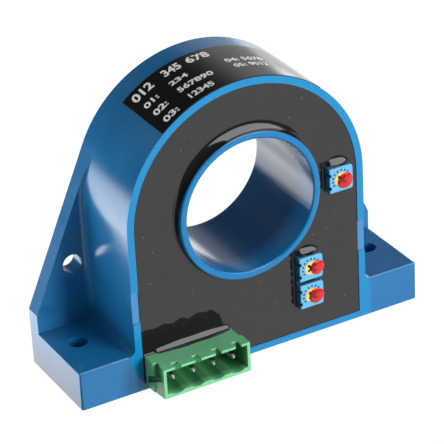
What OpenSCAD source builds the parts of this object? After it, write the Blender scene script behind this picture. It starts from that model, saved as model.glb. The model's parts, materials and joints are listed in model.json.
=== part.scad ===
// Current transformer: a potted, active ring sensor for a cable up to the bore's size.
// One moulded case carries a tube for the conductor, two feet and a rear flange. A gapped
// core, a field sensor and a small board lie in the case, under resin, and a pluggable
// header and three trimmers stand out of it at the front.
// Frame: X along the feet, -Y towards the potted front, +Z up, origin at the middle of
// the mounting plane.

/* [Case] */
// Width across the outer ends of the two feet
case_w = 87.2; // [82:0.2:110]
// Depth of the case and its feet, front to back
case_depth = 24.6; // [24:0.2:32]
// Outer radius of the arched body
body_r = 29.8; // [29:0.1:34]
// Height of the bore's axis above the mounting plane
bore_z = 38.4; // [37:0.2:44]
// Thickness of the case's outer wall
wall = 1.7; // [1.2:0.1:2.2]
// Thickness of the case's floor
floor_t = 1.6; // [1.2:0.1:2.4]
// Thickness of the wall that closes the case at the back
rear_wall = 2; // [1.5:0.1:3]
// Height of the feet
foot_h = 9.5; // [7:0.5:12]
// Thickness of the rear flange
flange_t = 4.1; // [3:0.1:5]
// Height of the flange's upright ends, where its slope starts
flange_end_h = 14; // [12:0.5:20]
// Radius of the blend where the body meets the feet and the flange
blend_r = 1.5; // [0.6:0.1:2.4]
// Radius of the feet's outer edges
edge_r = 0.6; // [0.3:0.1:1]
// Height of the shallow land in each side of the front rim
land_h = 7.8; // [4:0.2:10]
// Height of the land's lower end above the mounting plane
land_z = 17.3; // [14:0.1:24]
// Depth of the land
land_depth = 0.3; // [0.2:0.1:0.6]

/* [Bore] */
// Radius of the bore that the conductor passes through
bore_r = 16; // [13:0.25:16.5]
// Wall of the tube round the bore
tube_wall = 1.7; // [1.2:0.1:2]
// How far the tube stands out of the case's front
tube_proud = 1.8; // [1:0.1:3]
// Radius of the bore's edge at the back
bore_edge_r = 1.2; // [0.5:0.1:1.8]
// Radius of the tube's front lip, inside and outside
lip_r = 0.45; // [0.2:0.05:0.6]

/* [Fixing holes] */
// Radius of the upright holes through the feet
foot_hole_r = 2.25; // [1.6:0.05:2.75]
// Distance between the holes through the feet
foot_hole_span = 75.8; // [71:0.2:78]
// Radius of the holes through the flange
flange_hole_r = 2.3; // [1.6:0.05:2.75]
// Distance between the holes through the flange
flange_hole_span = 67.8; // [66:0.2:72]
// Height of the flange holes above the mounting plane
flange_hole_z = 24.3; // [16:0.1:26]

/* [Potting] */
// Depth of the resin's surface below the case's rim
resin_recess = 0.2; // [0.1:0.1:1]
// Thickness of the label film
label_t = 0.12; // [0.08:0.02:0.3]
// Half of the arc that the label covers, in degrees
label_half_angle = 41; // [20:1:60]
// Distance of the label from the case's front
label_inset = 0.3; // [0.3:0.1:4]
// Width of the label, front to back
label_w = 18.2; // [12:0.1:19.6]

/* [Header] */
// Distance between contacts
pitch = 5.08; // [5:0.04:5.24]
// Distance from the end contacts' axes to the header's ends
end_margin = 3.25; // [2.8:0.05:3.5]
// Height of the header's block
header_h = 7.4; // [7.2:0.1:9]
// Full depth of the header, from the board to its mouth
header_depth = 12; // [11:0.2:13]
// How far the header stands out of the case's front
header_proud = 7.8; // [7:0.1:8.6]
// Depth of the header's socket
socket_depth = 8.6; // [6:0.1:9.4]
// How deep the header sits in the case's floor
header_seat = 0.35; // [0.1:0.05:0.6]
// Distance of the header's end from the case's side wall
header_inset = 0.95; // [0.8:0.05:2]
// Wall at the header's ends
header_side_wall = 0.7; // [0.5:0.05:1]
// Wall along the header's top
header_top_wall = 0.6; // [0.5:0.05:1]
// Width of one square contact
contact_w = 1; // [0.8:0.05:1.2]
// Distance of the contacts' tips behind the header's mouth
contact_back = 1.7; // [1:0.1:3]
// Height of the contacts' axes above the header's underside
contact_z = 3.7; // [3.3:0.1:4]
// Radius of the round channel under each contact
channel_r = 3.1; // [2.8:0.05:3.2]
// Height of the ridges between the channels
ridge_h = 1.1; // [0.9:0.05:1.3]
// Width of each coding slot in the header's top wall
slot_w = 1.5; // [1:0.1:2]
// Length of each coding slot
slot_len = 2; // [1:0.1:3]

/* [Trimmers] */
// Side of a trimmer's square body
trimmer_w = 6.2; // [5.4:0.1:6.8]
// Cut across the two right-hand corners of a trimmer's body
trimmer_corner = 0.7; // [0.2:0.1:1]
// How far the trimmers stand out of the case's front
trimmer_proud = 2; // [1:0.1:3]
// Gap between the lower pair of trimmers
trimmer_gap = 0.8; // [0.2:0.1:1.6]
// Distance of the lower pair's rotors from the case's side wall
trimmer_inset = 13.7; // [10:0.1:15]
// Height of the upper one of that pair above the mounting plane
trimmer_z = 18.4; // [16:0.2:18.6]
// Radius of a rotor
rotor_r = 1.7; // [1.4:0.05:1.9]
// Depth of the pocket that a rotor turns in
pocket_depth = 1.5; // [1.2:0.1:2.5]
// Radius of a rotor's stub shaft
shaft_r = 0.6; // [0.4:0.05:0.8]
// Length of a rotor's stub shaft
shaft_len = 1.4; // [0.8:0.1:2]
// Radial clearance of a rotor and its shaft
rotor_clearance = 0.05; // [0.02:0.01:0.08]
// Thickness of the lacquer dab on each rotor
dab_t = 0.3; // [0.2:0.05:0.6]

/* [Core and board] */
// Thickness of the core along the bore
core_h = 10; // [6:0.5:12]
// Resin between the core and the walls round it
core_margin = 1.4; // [0.8:0.1:2]
// Width of the core's air gap
gap_w = 2.2; // [2:0.1:3]
// Thickness of the circuit board
board_t = 1.6; // [1:0.1:2]
// Resin between the board's edge and the walls round it
board_margin = 0.5; // [0.3:0.1:1]
// Length that leads stand out behind the board
tail = 1.2; // [0.6:0.1:1.6]
// Diameter of the filter capacitors
can_d = 6.3; // [5:0.1:7]
// Gap between parts that stand side by side on the board
part_gap = 1; // [0.6:0.1:1.2]

/* [Hidden] */
$fn = 96;

front = -case_depth / 2;
back = case_depth / 2;
cavity_r = body_r - wall;
tube_r = bore_r + tube_wall;
cavity_back = back - rear_wall;
flange_front = back - flange_t;
overcut = 1;

board_front = front + header_depth - header_proud;
board_back = board_front + board_t;
core_ri = tube_r + core_margin;
core_ro = cavity_r - core_margin;
core_front = cavity_back - core_h;
core_mid_r = (core_ri + core_ro) / 2;

pole_count = 4;
header_w = (pole_count - 1) * pitch + 2 * end_margin;
header_z = floor_t - header_seat;
header_front = front - header_proud;
header_left = -cavity_r + header_inset;
header_right = header_left + header_w;
header_top = header_z + header_h;
pin_z = header_z + contact_z;
// The rear half of the header's block is stepped to one side, so that blocks can interlock
step_w = 0.6;
step_depth = 3.9;
ledge_h = 0.57 * header_h;
// A sloping slot runs from that step down the left end, towards the case
ramp_start = 0.7;
ramp_end = header_proud - 0.6;
ramp_low = 0.8;
ramp_h = 1.8;
ramp_depth = 0.2;
key_rib_w = 0.9;
key_rib_h = 0.7;
slot_offset = 0.4;
tip_len = 0.6;
tip_w = 0.5;

trimmer_face = front - trimmer_proud;
trimmer_x = cavity_r - trimmer_inset;
// Each trimmer's place, as X and Z of its rotor's axis
trimmer_places = [
    [(tube_r + cavity_r) / 2, bore_z],
    [trimmer_x, trimmer_z],
    [trimmer_x, trimmer_z - trimmer_w - trimmer_gap]
];
trimmer_chamfer = 0.2;
rotor_proud = 0.05;
floor_clearance = 0.05;
driver_slot_w = 0.55;
driver_slot_len = 2.4;
driver_slot_depth = 0.7;
// Turn of the two driver slots from upright at mid travel, degrees
driver_slot_turn = 45;
tick_count = 11;
tick_first = -32.5;
tick_step = 24.5;
tick_r = 0.2;
tick_depth = 0.3;
tick_ring_r = rotor_r + 0.55;
// Two notches in the left edge of each trimmer's face
notch_heights = [1.4, -1.8];
notch_w = 0.55;
notch_h = 0.8;
notch_len = 1.6;
lead_w = 0.5;
lead_spread = 1.9;
dab_r = rotor_r - 0.2;
dab_offset = rotor_r - 0.9;
dab_drop = 0.45;

// Sizes of the parts inside, as width, height and depth along Y
sensor_size = [1.6, 5.2, 3.8];
sensor_lead_pitch = 1.27;
sensor_lead_w = 0.4;
sensor_back = 2;
chip_size = [4.9, 3.9, 1.5];
chip_rise = 0.15;
diode_size = [4.3, 2.6, 2.1];
resistor_size = [3.2, 1.6, 0.55];
resistor_pitch = 4.6;
film_size = [3.2, 4.5];
film_lead_pitch = 2.54;
regulator_r = 2.35;
regulator_flat = 1.3;
regulator_len = 4.6;
leg_pitch = 1.27;
// Places of the flat parts, from the board's left edge and up from the header's top
amplifier_place = [7.6, 5.8];
converter_place = [17.6, 5.8];
diode_place = [11.6, 0.4];
resistor_place = [3.6, 3.4];
// The row of tall parts stands on the board's lower edge, from its right end inwards
row_z = floor_t + board_margin + 0.6;
board_edge = cavity_r - board_margin;
tall_len = core_front - board_back - 0.4;
can_2_x = board_edge - part_gap - can_d / 2;
regulator_x = can_2_x - can_d / 2 - part_gap - regulator_r;
film_x = regulator_x - regulator_r - part_gap - film_size.x / 2;
can_1_x = film_x - film_size.x / 2 - part_gap - can_d / 2;

// A flat outline in X and Z, drawn out along Y from y0 to y1
module along_y(y0, y1) {
    translate([0, y1, 0]) rotate([90, 0, 0]) linear_extrude(y1 - y0) children();
}

// A profile in radius and Y, turned about an axis along Y through x and z
module about_y(x, z) {
    translate([x, 0, z]) rotate([-90, 0, 0]) rotate_extrude() children();
}

// A round bar along Y
module bar_y(x, z, r, y0, y1) {
    translate([x, y0, z]) rotate([-90, 0, 0]) cylinder(r = r, h = y1 - y0);
}

// A box given by its middle in X and Z and its reach along Y
module box_y(x, z, w, h, y0, y1) {
    translate([x - w / 2, y0, z - h / 2]) cube([w, y1 - y0, h]);
}

// The arch: a round head over straight sides that end at height z0
module arch(r, z0) {
    translate([0, bore_z]) circle(r);
    translate([-r, z0]) square([2 * r, bore_z - z0]);
}

// The concave corner between two faces at right angles, pointing along +X and +Y
module corner_fill(r) {
    difference() {
        translate([-overcut, -overcut]) square(r + overcut);
        translate([r, r]) circle(r);
    }
}

// ---- Case ----

// Rear flange: upright ends, then a slope that runs on to the arch as a tangent
module flange_outline() {
    half_w = case_w / 2;
    drop = bore_z - flange_end_h;
    reach = sqrt(half_w * half_w + drop * drop);
    touch = 180 - acos(body_r / reach) + atan(drop / half_w);
    touch_x = -body_r * cos(touch);
    touch_z = bore_z + body_r * sin(touch);
    arch(body_r, 0);
    polygon([
        [-half_w, 0], [half_w, 0], [half_w, flange_end_h],
        [touch_x, touch_z], [-touch_x, touch_z], [-half_w, flange_end_h]
    ]);
}

// A rectangle with the chosen corners round, from lo to hi
module soft_rectangle(lo, hi, r) {
    translate([lo.x + r, lo.y]) square([hi.x - lo.x - 2 * r, hi.y - lo.y]);
    translate([lo.x, lo.y + r]) square([hi.x - lo.x, hi.y - lo.y - 2 * r]);
    for (x = [lo.x + r, hi.x - r], y = [lo.y + r, hi.y - r]) translate([x, y]) circle(r);
}

// Both feet as one bar through the body, with its outer edges rounded
module foot_bar() {
    half_w = case_w / 2;
    intersection() {
        along_y(front, back)
            soft_rectangle([-half_w, -2 * edge_r], [half_w, foot_h], edge_r);
        translate([-half_w, 0, 0]) rotate([90, 0, 90]) linear_extrude(case_w)
            soft_rectangle([front, -2 * edge_r], [back + 2 * edge_r, foot_h], edge_r);
        linear_extrude(foot_h)
            soft_rectangle([-half_w, front], [half_w, back + 2 * edge_r], edge_r);
        translate([-half_w, front, 0]) cube([case_w, case_depth, foot_h]);
    }
}

// Blends beside the body, above the feet and in front of the flange
module case_blends() {
    for (side = [0, 1]) mirror([side, 0, 0]) {
        along_y(front, flange_front)
            translate([body_r, foot_h]) corner_fill(blend_r);
        intersection() {
            union() {
                translate([body_r, flange_front, foot_h - overcut])
                    linear_extrude(bore_z - foot_h + overcut)
                        mirror([0, 1]) corner_fill(blend_r);
                about_y(0, bore_z)
                    translate([body_r, flange_front]) mirror([0, 1]) corner_fill(blend_r);
            }
            along_y(front, back) flange_outline();
            translate([0, front, foot_h - overcut])
                cube([case_w / 2, case_depth, bore_z + body_r]);
        }
    }
}

module tube_profile() {
    lip = front - tube_proud;
    translate([bore_r, lip + lip_r]) square([tube_wall, back - lip - lip_r]);
    translate([bore_r + lip_r, lip]) square([tube_wall - 2 * lip_r, 2 * lip_r]);
    for (r = [bore_r + lip_r, tube_r - lip_r]) translate([r, lip + lip_r]) circle(lip_r);
}

// The space inside the case, round the tube, between two planes
module cavity(y0, y1) {
    difference() {
        along_y(y0, y1) arch(cavity_r, floor_t);
        bar_y(0, bore_z, tube_r, y0 - overcut, y1 + overcut);
    }
}

module rim_lands() {
    for (side = [-1, 1])
        box_y(side * (body_r - wall / 2), land_z + land_h / 2,
              wall + 2 * overcut, land_h, front - overcut, front + land_depth);
}

module housing() {
    color([0.12, 0.42, 0.72]) difference() {
        union() {
            difference() {
                union() {
                    along_y(front, back) arch(body_r, 0);
                    along_y(flange_front, back) flange_outline();
                    foot_bar();
                    case_blends();
                }
                cavity(front - overcut, cavity_back);
                rim_lands();
            }
            about_y(0, bore_z) tube_profile();
        }
        bar_y(0, bore_z, bore_r, front - tube_proud - overcut, back + overcut);
        about_y(0, bore_z)
            translate([bore_r, back]) mirror([0, 1]) corner_fill(bore_edge_r);
        header_block();
        for (side = [-1, 1]) {
            translate([side * foot_hole_span / 2, 0, -overcut])
                cylinder(r = foot_hole_r, h = foot_h + 2 * overcut);
            bar_y(side * flange_hole_span / 2, flange_hole_z, flange_hole_r,
                  flange_front - overcut, back + overcut);
        }
    }
}

// Printed film on top of the arch
module label() {
    start = 90 - label_half_angle;
    color([0.1, 0.1, 0.1]) translate([0, front + label_inset, bore_z]) rotate([90, 0, 0])
        mirror([0, 0, 1]) rotate([0, 0, start])
            rotate_extrude(angle = 2 * label_half_angle)
                translate([body_r, 0]) square([label_t, label_w]);
}

// ---- Header ----

function pin_x(i) = header_left + end_margin + i * pitch;

// The block's plan: stepped at both ends; notch is how far one end is cut in
module header_plan(notch) {
    step_y = header_front + step_depth;
    polygon([
        [header_left, header_front],
        [header_left + notch, step_y],
        [header_left - step_w, step_y],
        [header_left - step_w, board_front],
        [header_right - step_w, board_front],
        [header_right - step_w, step_y],
        [header_right, step_y - step_w],
        [header_right, header_front]
    ]);
}

module end_ramp() {
    translate([header_left - step_w - overcut, header_front, header_z])
        rotate([90, 0, 90]) linear_extrude(step_w + overcut + ramp_depth) polygon([
            [ramp_start, ledge_h], [ramp_end, ramp_low], [ramp_end, ramp_low + ramp_h],
            [step_depth, ledge_h]
        ]);
}

// The header's block before its socket is cut: full width below the ledge, notched above
module header_block() {
    difference() {
        union() {
            translate([0, 0, header_z]) linear_extrude(ledge_h) header_plan(-step_w / 2);
            translate([0, 0, header_z]) linear_extrude(header_h) header_plan(step_w);
        }
        end_ramp();
    }
}

module header_socket() {
    floor_y = header_front + socket_depth;
    inner_left = header_left + header_side_wall;
    inner_w = header_w - 2 * header_side_wall;
    inner_top = header_top - header_top_wall;
    along_y(header_front - overcut, floor_y) intersection() {
        translate([inner_left, header_z]) square([inner_w, inner_top - header_z]);
        union() {
            translate([inner_left, header_z + ridge_h]) square([inner_w, header_h]);
            for (i = [0 : pole_count - 1])
                translate([pin_x(i), header_z + contact_z]) circle(channel_r);
        }
    }
}

// Rib under the top wall that guides a coding piece
module key_rib(i) {
    y0 = header_front + slot_len;
    y1 = header_front + socket_depth + overcut / 2;
    box_y(pin_x(i) + slot_offset, header_top - header_top_wall - key_rib_h / 2,
          key_rib_w, key_rib_h + header_top_wall, y0, y1);
}

module header_housing() {
    color([0.2, 0.62, 0.34]) difference() {
        union() {
            difference() {
                header_block();
                header_socket();
            }
            for (i = [0 : pole_count - 1]) key_rib(i);
        }
        for (i = [0 : pole_count - 1]) {
            box_y(pin_x(i) + slot_offset, header_top, slot_w, 4 * header_top_wall,
                  header_front - overcut, header_front + slot_len);
            header_pin(i);
        }
    }
}

// Square contact with a tapered tip; its tail goes through the board
module header_pin(i) {
    tip = header_front + contact_back;
    color([0.8, 0.8, 0.78]) {
        box_y(pin_x(i), pin_z, contact_w, contact_w, tip + tip_len, board_back + tail);
        intersection() {
            taper = [
                [-tip_w / 2, tip], [tip_w / 2, tip], [contact_w / 2, tip + tip_len],
                [-contact_w / 2, tip + tip_len]
            ];
            translate([pin_x(i), 0, pin_z - contact_w / 2]) linear_extrude(contact_w)
                polygon(taper);
            translate([pin_x(i) - contact_w / 2, 0, pin_z]) rotate([0, 90, 0])
                linear_extrude(contact_w) polygon(taper);
        }
    }
}

// ---- Trimmers ----

module at_trimmer(i) {
    translate([trimmer_places[i].x, trimmer_face, trimmer_places[i].y]) children();
}

// Profile of a trimmer's side: a square end with its front corners chamfered
module trimmer_side(length) {
    half_w = trimmer_w / 2;
    polygon([
        [-half_w + trimmer_chamfer, 0], [half_w - trimmer_chamfer, 0],
        [half_w, trimmer_chamfer], [half_w, length], [-half_w, length],
        [-half_w, trimmer_chamfer]
    ]);
}

module trimmer_block() {
    length = board_front - trimmer_face;
    half_w = trimmer_w / 2;
    cut_w = half_w - trimmer_corner;
    intersection() {
        translate([0, 0, -half_w]) linear_extrude(trimmer_w) trimmer_side(length);
        translate([-half_w, 0, 0]) rotate([0, 90, 0]) linear_extrude(trimmer_w)
            trimmer_side(length);
        along_y(-overcut, length + overcut) polygon([
            [-half_w, -half_w], [cut_w, -half_w], [half_w, -cut_w], [half_w, cut_w],
            [cut_w, half_w], [-half_w, half_w]
        ]);
    }
}

module trimmer_body(i) {
    shaft_end = pocket_depth + shaft_len + floor_clearance;
    color([0.25, 0.62, 0.88]) at_trimmer(i) difference() {
        trimmer_block();
        bar_y(0, 0, rotor_r + rotor_clearance, -overcut, pocket_depth);
        bar_y(0, 0, shaft_r + rotor_clearance, -overcut, shaft_end);
        for (k = [0 : tick_count - 1]) rotate([0, -(tick_first + k * tick_step), 0])
            bar_y(tick_ring_r, 0, tick_r, -overcut, tick_depth);
        for (z = notch_heights)
            box_y(-trimmer_w / 2, z, 2 * notch_w, notch_h, -overcut, notch_len);
    }
}

module trimmer_rotor(i) {
    disc_back = pocket_depth - floor_clearance;
    color([0.96, 0.86, 0.45]) at_trimmer(i) difference() {
        union() {
            bar_y(0, 0, rotor_r, -rotor_proud, disc_back);
            bar_y(0, 0, shaft_r, 0, disc_back + shaft_len);
        }
        rotate([0, driver_slot_turn, 0]) {
            box_y(0, 0, driver_slot_len, driver_slot_w, -overcut, driver_slot_depth);
            box_y(0, 0, driver_slot_w, driver_slot_len, -overcut, driver_slot_depth);
        }
    }
}

module trimmer_leads(i) {
    length = board_back + tail - trimmer_face;
    start = board_front - trimmer_face;
    color([0.75, 0.75, 0.73]) at_trimmer(i)
        for (place = [[-1, -1], [0, 1], [1, -1]])
            box_y(place.x * lead_spread, place.y * lead_spread, lead_w, lead_w,
                  start, length);
}

// Drop of lacquer that seals a rotor's setting
module seal_dab(i) {
    color([0.8, 0.12, 0.12]) at_trimmer(i) along_y(-rotor_proud - dab_t, -rotor_proud) {
        translate([dab_offset, -dab_drop]) circle(dab_r);
        translate([dab_offset + 0.6, 0.1 - dab_drop]) circle(dab_r - 0.1);
    }
}

// ---- Core and sensor ----

module magnetic_core() {
    color([0.45, 0.45, 0.48]) difference() {
        about_y(0, bore_z)
            translate([core_ri, core_front]) square([core_ro - core_ri, core_h]);
        box_y(0, bore_z - core_mid_r, gap_w, core_ro - core_ri + 4 * overcut,
              core_front - overcut, cavity_back + overcut);
    }
}

// Field sensor in the core's gap, with four leads to the board
module hall_sensor() {
    body_front = core_front + sensor_back;
    z = bore_z - core_mid_r;
    color([0.15, 0.15, 0.16]) {
        box_y(0, z, sensor_size.x, sensor_size.y, body_front, body_front + sensor_size.z);
        for (k = [-1.5 : 1 : 1.5])
            box_y(0, z + k * sensor_lead_pitch, sensor_lead_w, sensor_lead_w,
                  board_front, body_front);
    }
}

// ---- Board and the parts on it ----

module circuit_board() {
    color([0.12, 0.4, 0.25]) difference() {
        along_y(board_front, board_back) difference() {
            arch(board_edge, floor_t + board_margin);
            translate([0, bore_z]) circle(tube_r + board_margin);
        }
        for (i = [0 : pole_count - 1]) header_pin(i);
        for (i = [0 : 2]) trimmer_leads(i);
        hall_sensor();
        filter_capacitor(can_1_x);
        filter_capacitor(can_2_x);
        voltage_regulator();
        film_capacitor();
    }
}

// A row of leads through the board, side by side along X
module board_leads(x, z, count, spacing, end_y) {
    for (k = [0 : count - 1])
        box_y(x + (k - (count - 1) / 2) * spacing, z, lead_w, lead_w, board_front, end_y);
}

// Round can on the board's back, with a groove near its sealed end
module filter_capacitor(x) {
    z = row_z + can_d / 2;
    groove_r = 0.5;
    color([0.2, 0.22, 0.3]) {
        about_y(x, z) difference() {
            translate([0, board_back]) square([can_d / 2, tall_len]);
            translate([can_d / 2 + groove_r / 3, board_back + 3 * groove_r]) circle(groove_r);
        }
        board_leads(x, z, 2, 2 * leg_pitch, board_back);
    }
}

// Three-legged regulator, flat on its lower side
module voltage_regulator() {
    z = row_z + regulator_flat;
    body_y = board_back + tall_len - regulator_len;
    color([0.14, 0.14, 0.15]) {
        along_y(body_y, body_y + regulator_len) translate([regulator_x, z]) difference() {
            circle(regulator_r);
            translate([-regulator_r, -2 * regulator_r])
                square([2 * regulator_r, 2 * regulator_r - regulator_flat]);
        }
        board_leads(regulator_x, z, 3, leg_pitch, body_y);
    }
}

module film_capacitor() {
    z = row_z + film_size.y / 2;
    color([0.75, 0.2, 0.15]) {
        box_y(film_x, z, film_size.x, film_size.y, board_back, board_back + tall_len);
        for (side = [-1, 1])
            box_y(film_x, z + side * film_lead_pitch / 2, lead_w, lead_w,
                  board_front, board_back);
    }
}

// Small chip package lying on the board's back, with four bent legs on each side
module chip(place) {
    x = place.x - board_edge;
    z = place.y + header_top;
    leg_w = 0.4;
    edge = chip_size.y / 2;
    knee = chip_rise + chip_size.z / 2;
    // Side view of a leg: out of the body, down to the board and along it
    leg = [
        [knee - 0.3, edge - 0.2], [knee, edge - 0.2], [knee, edge + 0.4],
        [0.25, edge + 0.7], [0.25, edge + 1.15], [0, edge + 1.15],
        [0, edge + 0.55], [knee - 0.3, edge + 0.25]
    ];
    color([0.13, 0.13, 0.14]) {
        box_y(x, z, chip_size.x, chip_size.y,
              board_back + chip_rise, board_back + chip_rise + chip_size.z);
        for (k = [-1.5 : 1 : 1.5], side = [0, 1])
            translate([x + k * leg_pitch - leg_w / 2, board_back, z]) mirror([0, 0, side])
                rotate([90, 0, 90]) linear_extrude(leg_w) polygon(leg);
    }
}

module amplifier_chip() {
    chip(amplifier_place);
}

module converter_chip() {
    chip(converter_place);
}

module protection_diode() {
    x = diode_place.x - board_edge;
    z = diode_place.y + header_top;
    lead_h = 1.2;
    color([0.16, 0.16, 0.17]) {
        box_y(x, z, diode_size.x, diode_size.y,
              board_back + chip_rise, board_back + chip_rise + diode_size.z);
        for (side = [-1, 1])
            box_y(x + side * diode_size.x / 2, z, 0.7, diode_size.y - 1,
                  board_back, board_back + lead_h);
    }
}

// Chip resistor on the board's front
module resistor(i) {
    color([0.2, 0.2, 0.22])
        box_y(resistor_place.x - board_edge + i * resistor_pitch, resistor_place.y + header_top,
              resistor_size.x, resistor_size.y, board_front - resistor_size.z, board_front);
}

// ---- Resin ----

// Fills the case round everything that is in it
module potting_resin() {
    color([0.17, 0.16, 0.15]) difference() {
        cavity(front + resin_recess, cavity_back);
        magnetic_core();
        hall_sensor();
        circuit_board();
        header_block();
        for (i = [0 : pole_count - 1]) header_pin(i);
        for (i = [0 : 2]) {
            at_trimmer(i) trimmer_block();
            trimmer_leads(i);
        }
        filter_capacitor(can_1_x);
        filter_capacitor(can_2_x);
        voltage_regulator();
        film_capacitor();
        amplifier_chip();
        converter_chip();
        protection_diode();
        for (i = [0 : 3]) resistor(i);
    }
}

housing();
label();
potting_resin();
magnetic_core();
hall_sensor();
circuit_board();
header_housing();
for (i = [0 : pole_count - 1])
    header_pin(i);
for (i = [0 : 2]) {
    trimmer_body(i);
    trimmer_rotor(i);
    trimmer_leads(i);
    seal_dab(i);
}
amplifier_chip();
converter_chip();
voltage_regulator();
film_capacitor();
filter_capacitor(can_1_x);  // filter_capacitor_1
filter_capacitor(can_2_x);  // filter_capacitor_2
protection_diode();
for (i = [0 : 3])
    resistor(i);
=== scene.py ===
import json
import math
import random

import bmesh
import bpy
from mathutils import Matrix, Vector


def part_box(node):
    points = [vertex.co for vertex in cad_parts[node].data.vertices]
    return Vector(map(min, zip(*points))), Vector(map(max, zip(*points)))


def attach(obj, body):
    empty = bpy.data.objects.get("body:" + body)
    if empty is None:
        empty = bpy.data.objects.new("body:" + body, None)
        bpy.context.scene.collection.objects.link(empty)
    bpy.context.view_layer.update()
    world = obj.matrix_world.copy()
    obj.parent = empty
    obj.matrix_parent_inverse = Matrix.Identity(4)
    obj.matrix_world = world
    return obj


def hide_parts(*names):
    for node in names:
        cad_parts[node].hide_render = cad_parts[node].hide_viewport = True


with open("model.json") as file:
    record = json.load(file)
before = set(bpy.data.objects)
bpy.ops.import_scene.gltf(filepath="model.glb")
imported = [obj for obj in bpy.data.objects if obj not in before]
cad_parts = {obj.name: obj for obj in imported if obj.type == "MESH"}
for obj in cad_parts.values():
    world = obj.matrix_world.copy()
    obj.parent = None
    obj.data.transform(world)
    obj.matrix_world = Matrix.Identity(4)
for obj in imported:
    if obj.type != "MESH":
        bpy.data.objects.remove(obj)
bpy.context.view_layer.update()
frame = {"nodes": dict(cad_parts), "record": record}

mm = 0.001
scene = bpy.context.scene
nodes, record = frame["nodes"], frame["record"]
mounts = {m["name"]: m for m in record["mounts"]}
boreR = mounts["primary_bore"]["dims"]["r_mm"] * mm
boreZ = mounts["primary_bore"]["pos_m"][2]
resinLo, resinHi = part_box("potting_resin")
headerLo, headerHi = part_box("header_housing")
resinY = resinLo.y                     # the resin's open surface
rimY = resinY - 0.2 * mm               # the case's front rim
tubeR = boreR + 1.7 * mm               # outer face of the tube round the bore
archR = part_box("label")[1].z - boreZ   # outer face of the label film
print("frame loaded, bore axis at", round(boreZ / mm, 2), "mm")


# small helpers

def addObject(name, mesh):
    obj = bpy.data.objects.new(name, mesh)
    scene.collection.objects.link(obj)
    return obj


def evaluatedMesh(obj):
    # what the modifiers make, as a plain mesh
    bpy.context.view_layer.update()
    graph = bpy.context.evaluated_depsgraph_get()
    return bpy.data.meshes.new_from_object(obj.evaluated_get(graph))


def bakeModifiers(obj):
    obj.data = evaluatedMesh(obj)
    obj.modifiers.clear()
    return obj


def meshFrom(name, verts, faces):
    mesh = bpy.data.meshes.new(name)
    mesh.from_pydata(verts, [], faces)
    mesh.update()
    return mesh


def faceOutward(mesh, sharpDegrees):
    # normals outwards, smooth shading and crisp edges past an angle
    shape = bmesh.new()
    shape.from_mesh(mesh)
    bmesh.ops.recalc_face_normals(shape, faces=shape.faces)
    shape.to_mesh(mesh)
    shape.free()
    mesh.shade_smooth()
    mesh.set_sharp_from_angle(angle=math.radians(sharpDegrees))
    return mesh


def dress(obj, material):
    obj.data.materials.clear()
    obj.data.materials.append(material)
    return obj


def finishPiece(obj, body, slot, material, *replaced):
    dress(obj, material)
    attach(obj, body)
    if replaced:
        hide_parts(*replaced)
    return obj


# shader groups

def makeGroup(name, inputs, outputs):
    group = bpy.data.node_groups.new(name, "ShaderNodeTree")
    for label, kind, value in inputs:
        socket = group.interface.new_socket(label, in_out="INPUT", socket_type=kind)
        if value is not None:
            socket.default_value = value
    for label, kind in outputs:
        group.interface.new_socket(label, in_out="OUTPUT", socket_type=kind)
    return group, group.nodes.new("NodeGroupInput"), group.nodes.new("NodeGroupOutput")


def node(tree, kind, values=None, **settings):
    n = tree.nodes.new(kind)
    for key, value in settings.items():
        setattr(n, key, value)
    for key, value in (values or {}).items():
        n.inputs[key].default_value = value
    return n


def mathNode(tree, operation, a, b=None):
    n = tree.nodes.new("ShaderNodeMath")
    n.operation = operation
    for i, value in enumerate((a, b)):
        if value is None:
            continue
        if isinstance(value, (int, float)):
            n.inputs[i].default_value = value
        else:
            tree.links.new(value, n.inputs[i])
    return n.outputs[0]


def product(tree, *values):
    result = values[0]
    for value in values[1:]:
        result = mathNode(tree, "MULTIPLY", result, value)
    return result


def spread(tree, value, low, high, toLow=0.0, toHigh=1.0):
    # a value's run from low to high, spread over another run
    n = node(tree, "ShaderNodeMapRange", {"From Min": low, "From Max": high,
                                          "To Min": toLow, "To Max": toHigh})
    tree.links.new(value, n.inputs["Value"])
    return n.outputs[0]


def blendColour(tree, mask, a, b):
    n = tree.nodes.new("ShaderNodeMix")
    n.data_type = "RGBA"
    tree.links.new(mask, n.inputs[0])
    for i, value in ((6, a), (7, b)):
        if isinstance(value, (tuple, list)):
            n.inputs[i].default_value = (*value, 1)
        else:
            tree.links.new(value, n.inputs[i])
    return n.outputs[2]


# fine grain and slow mottling, from a position
grainGroup, gIn, gOut = makeGroup(
    "mouldGrain",
    [("Vector", "NodeSocketVector", None), ("Grain Scale", "NodeSocketFloat", 4000.0),
     ("Mottle Scale", "NodeSocketFloat", 60.0)],
    [("Grain", "NodeSocketFloat"), ("Mottle", "NodeSocketFloat")])
fine = node(grainGroup, "ShaderNodeTexNoise", {"Detail": 3.0, "Roughness": 0.6})
slow = node(grainGroup, "ShaderNodeTexNoise", {"Detail": 3.0, "Roughness": 0.5, "Distortion": 0.4})
for texture, name in ((fine, "Grain Scale"), (slow, "Mottle Scale")):
    grainGroup.links.new(gIn.outputs["Vector"], texture.inputs["Vector"])
    grainGroup.links.new(gIn.outputs[name], texture.inputs["Scale"])
grainGroup.links.new(fine.outputs[0], gOut.inputs["Grain"])
grainGroup.links.new(spread(grainGroup, slow.outputs[0], 0.3, 0.7), gOut.inputs["Mottle"])

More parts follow.
